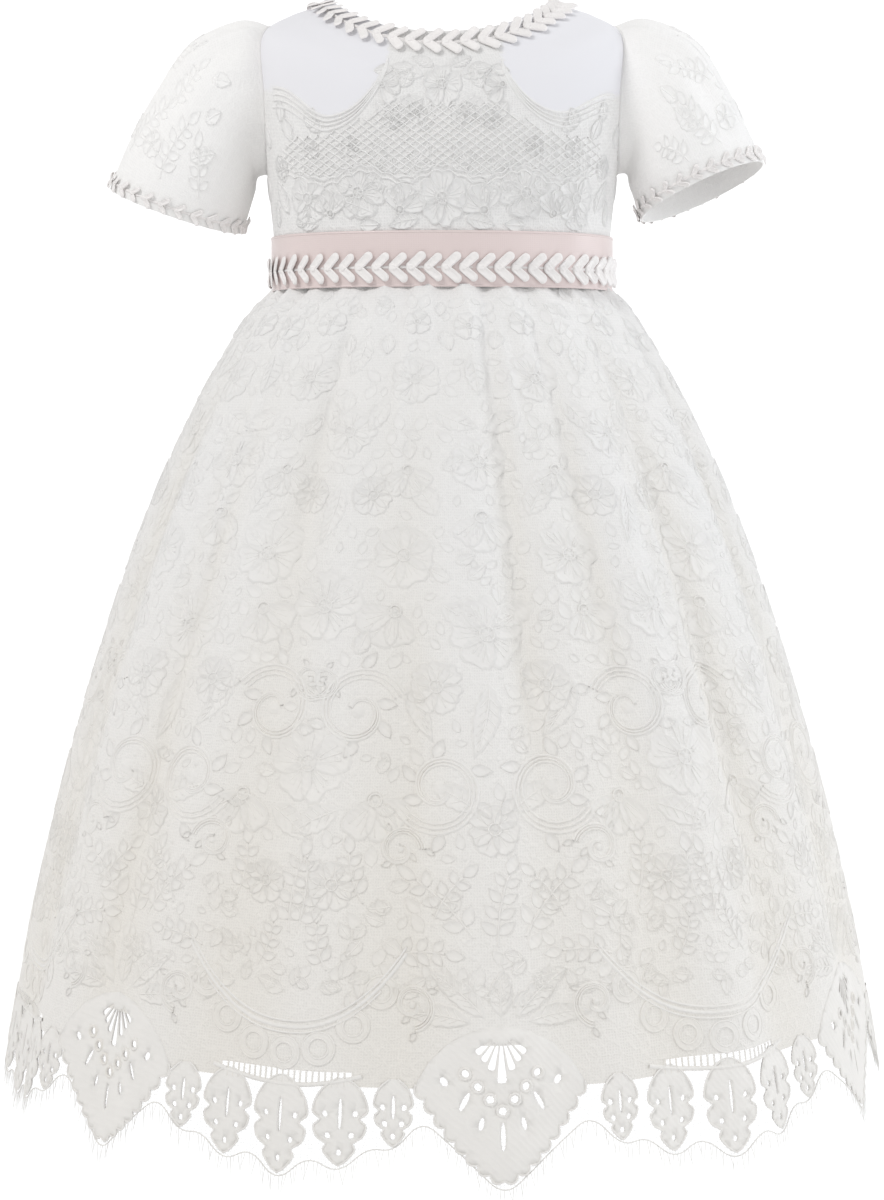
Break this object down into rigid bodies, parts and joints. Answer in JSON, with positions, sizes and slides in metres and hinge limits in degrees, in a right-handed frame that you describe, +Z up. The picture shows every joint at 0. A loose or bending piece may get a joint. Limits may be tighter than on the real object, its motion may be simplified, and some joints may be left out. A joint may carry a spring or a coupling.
{
  "type": "christening gown",
  "caption": "Baby's white lace christening gown with short gathered sleeves, a satin waist ribbon, leaf braid trim and a full lined skirt with a pointed lace hem.",
  "frame": {"origin": "midway between the two shoulder neck points, where the wearer's shoulders hold the gown", "axes": "+Z up from hem to neck, front towards -Y, +X to the right seen from the front"},
  "size_m": [0.4704, 0.4353, 0.5753],
  "materials": {
    "lace": "white cotton-blend lace on net",
    "lining": "plain white lining cloth with a low sheen",
    "ribbon": "pale pink satin ribbon",
    "braid": "glossy white leaf braid",
    "button": "pearl white button"
  },
  "bodies": {
    "root": {"bodice_front": "lace", "bodice_back_left": "lace", "bodice_back_right": "lace", "sleeve_left": "lace", "sleeve_right": "lace", "neck_braid": "braid", "waist_ribbon": "ribbon", "waist_braid": "braid", "cuff_braid_left": "braid", "cuff_braid_right": "braid", "skirt_front": "lace", "skirt_back": "lace", "skirt_lining": "lining", "eyelash_edging": "lace", "button_1": "button", "button_2": "button", "button_3": "button", "button_4": "button"}
  },
  "joints": []
}
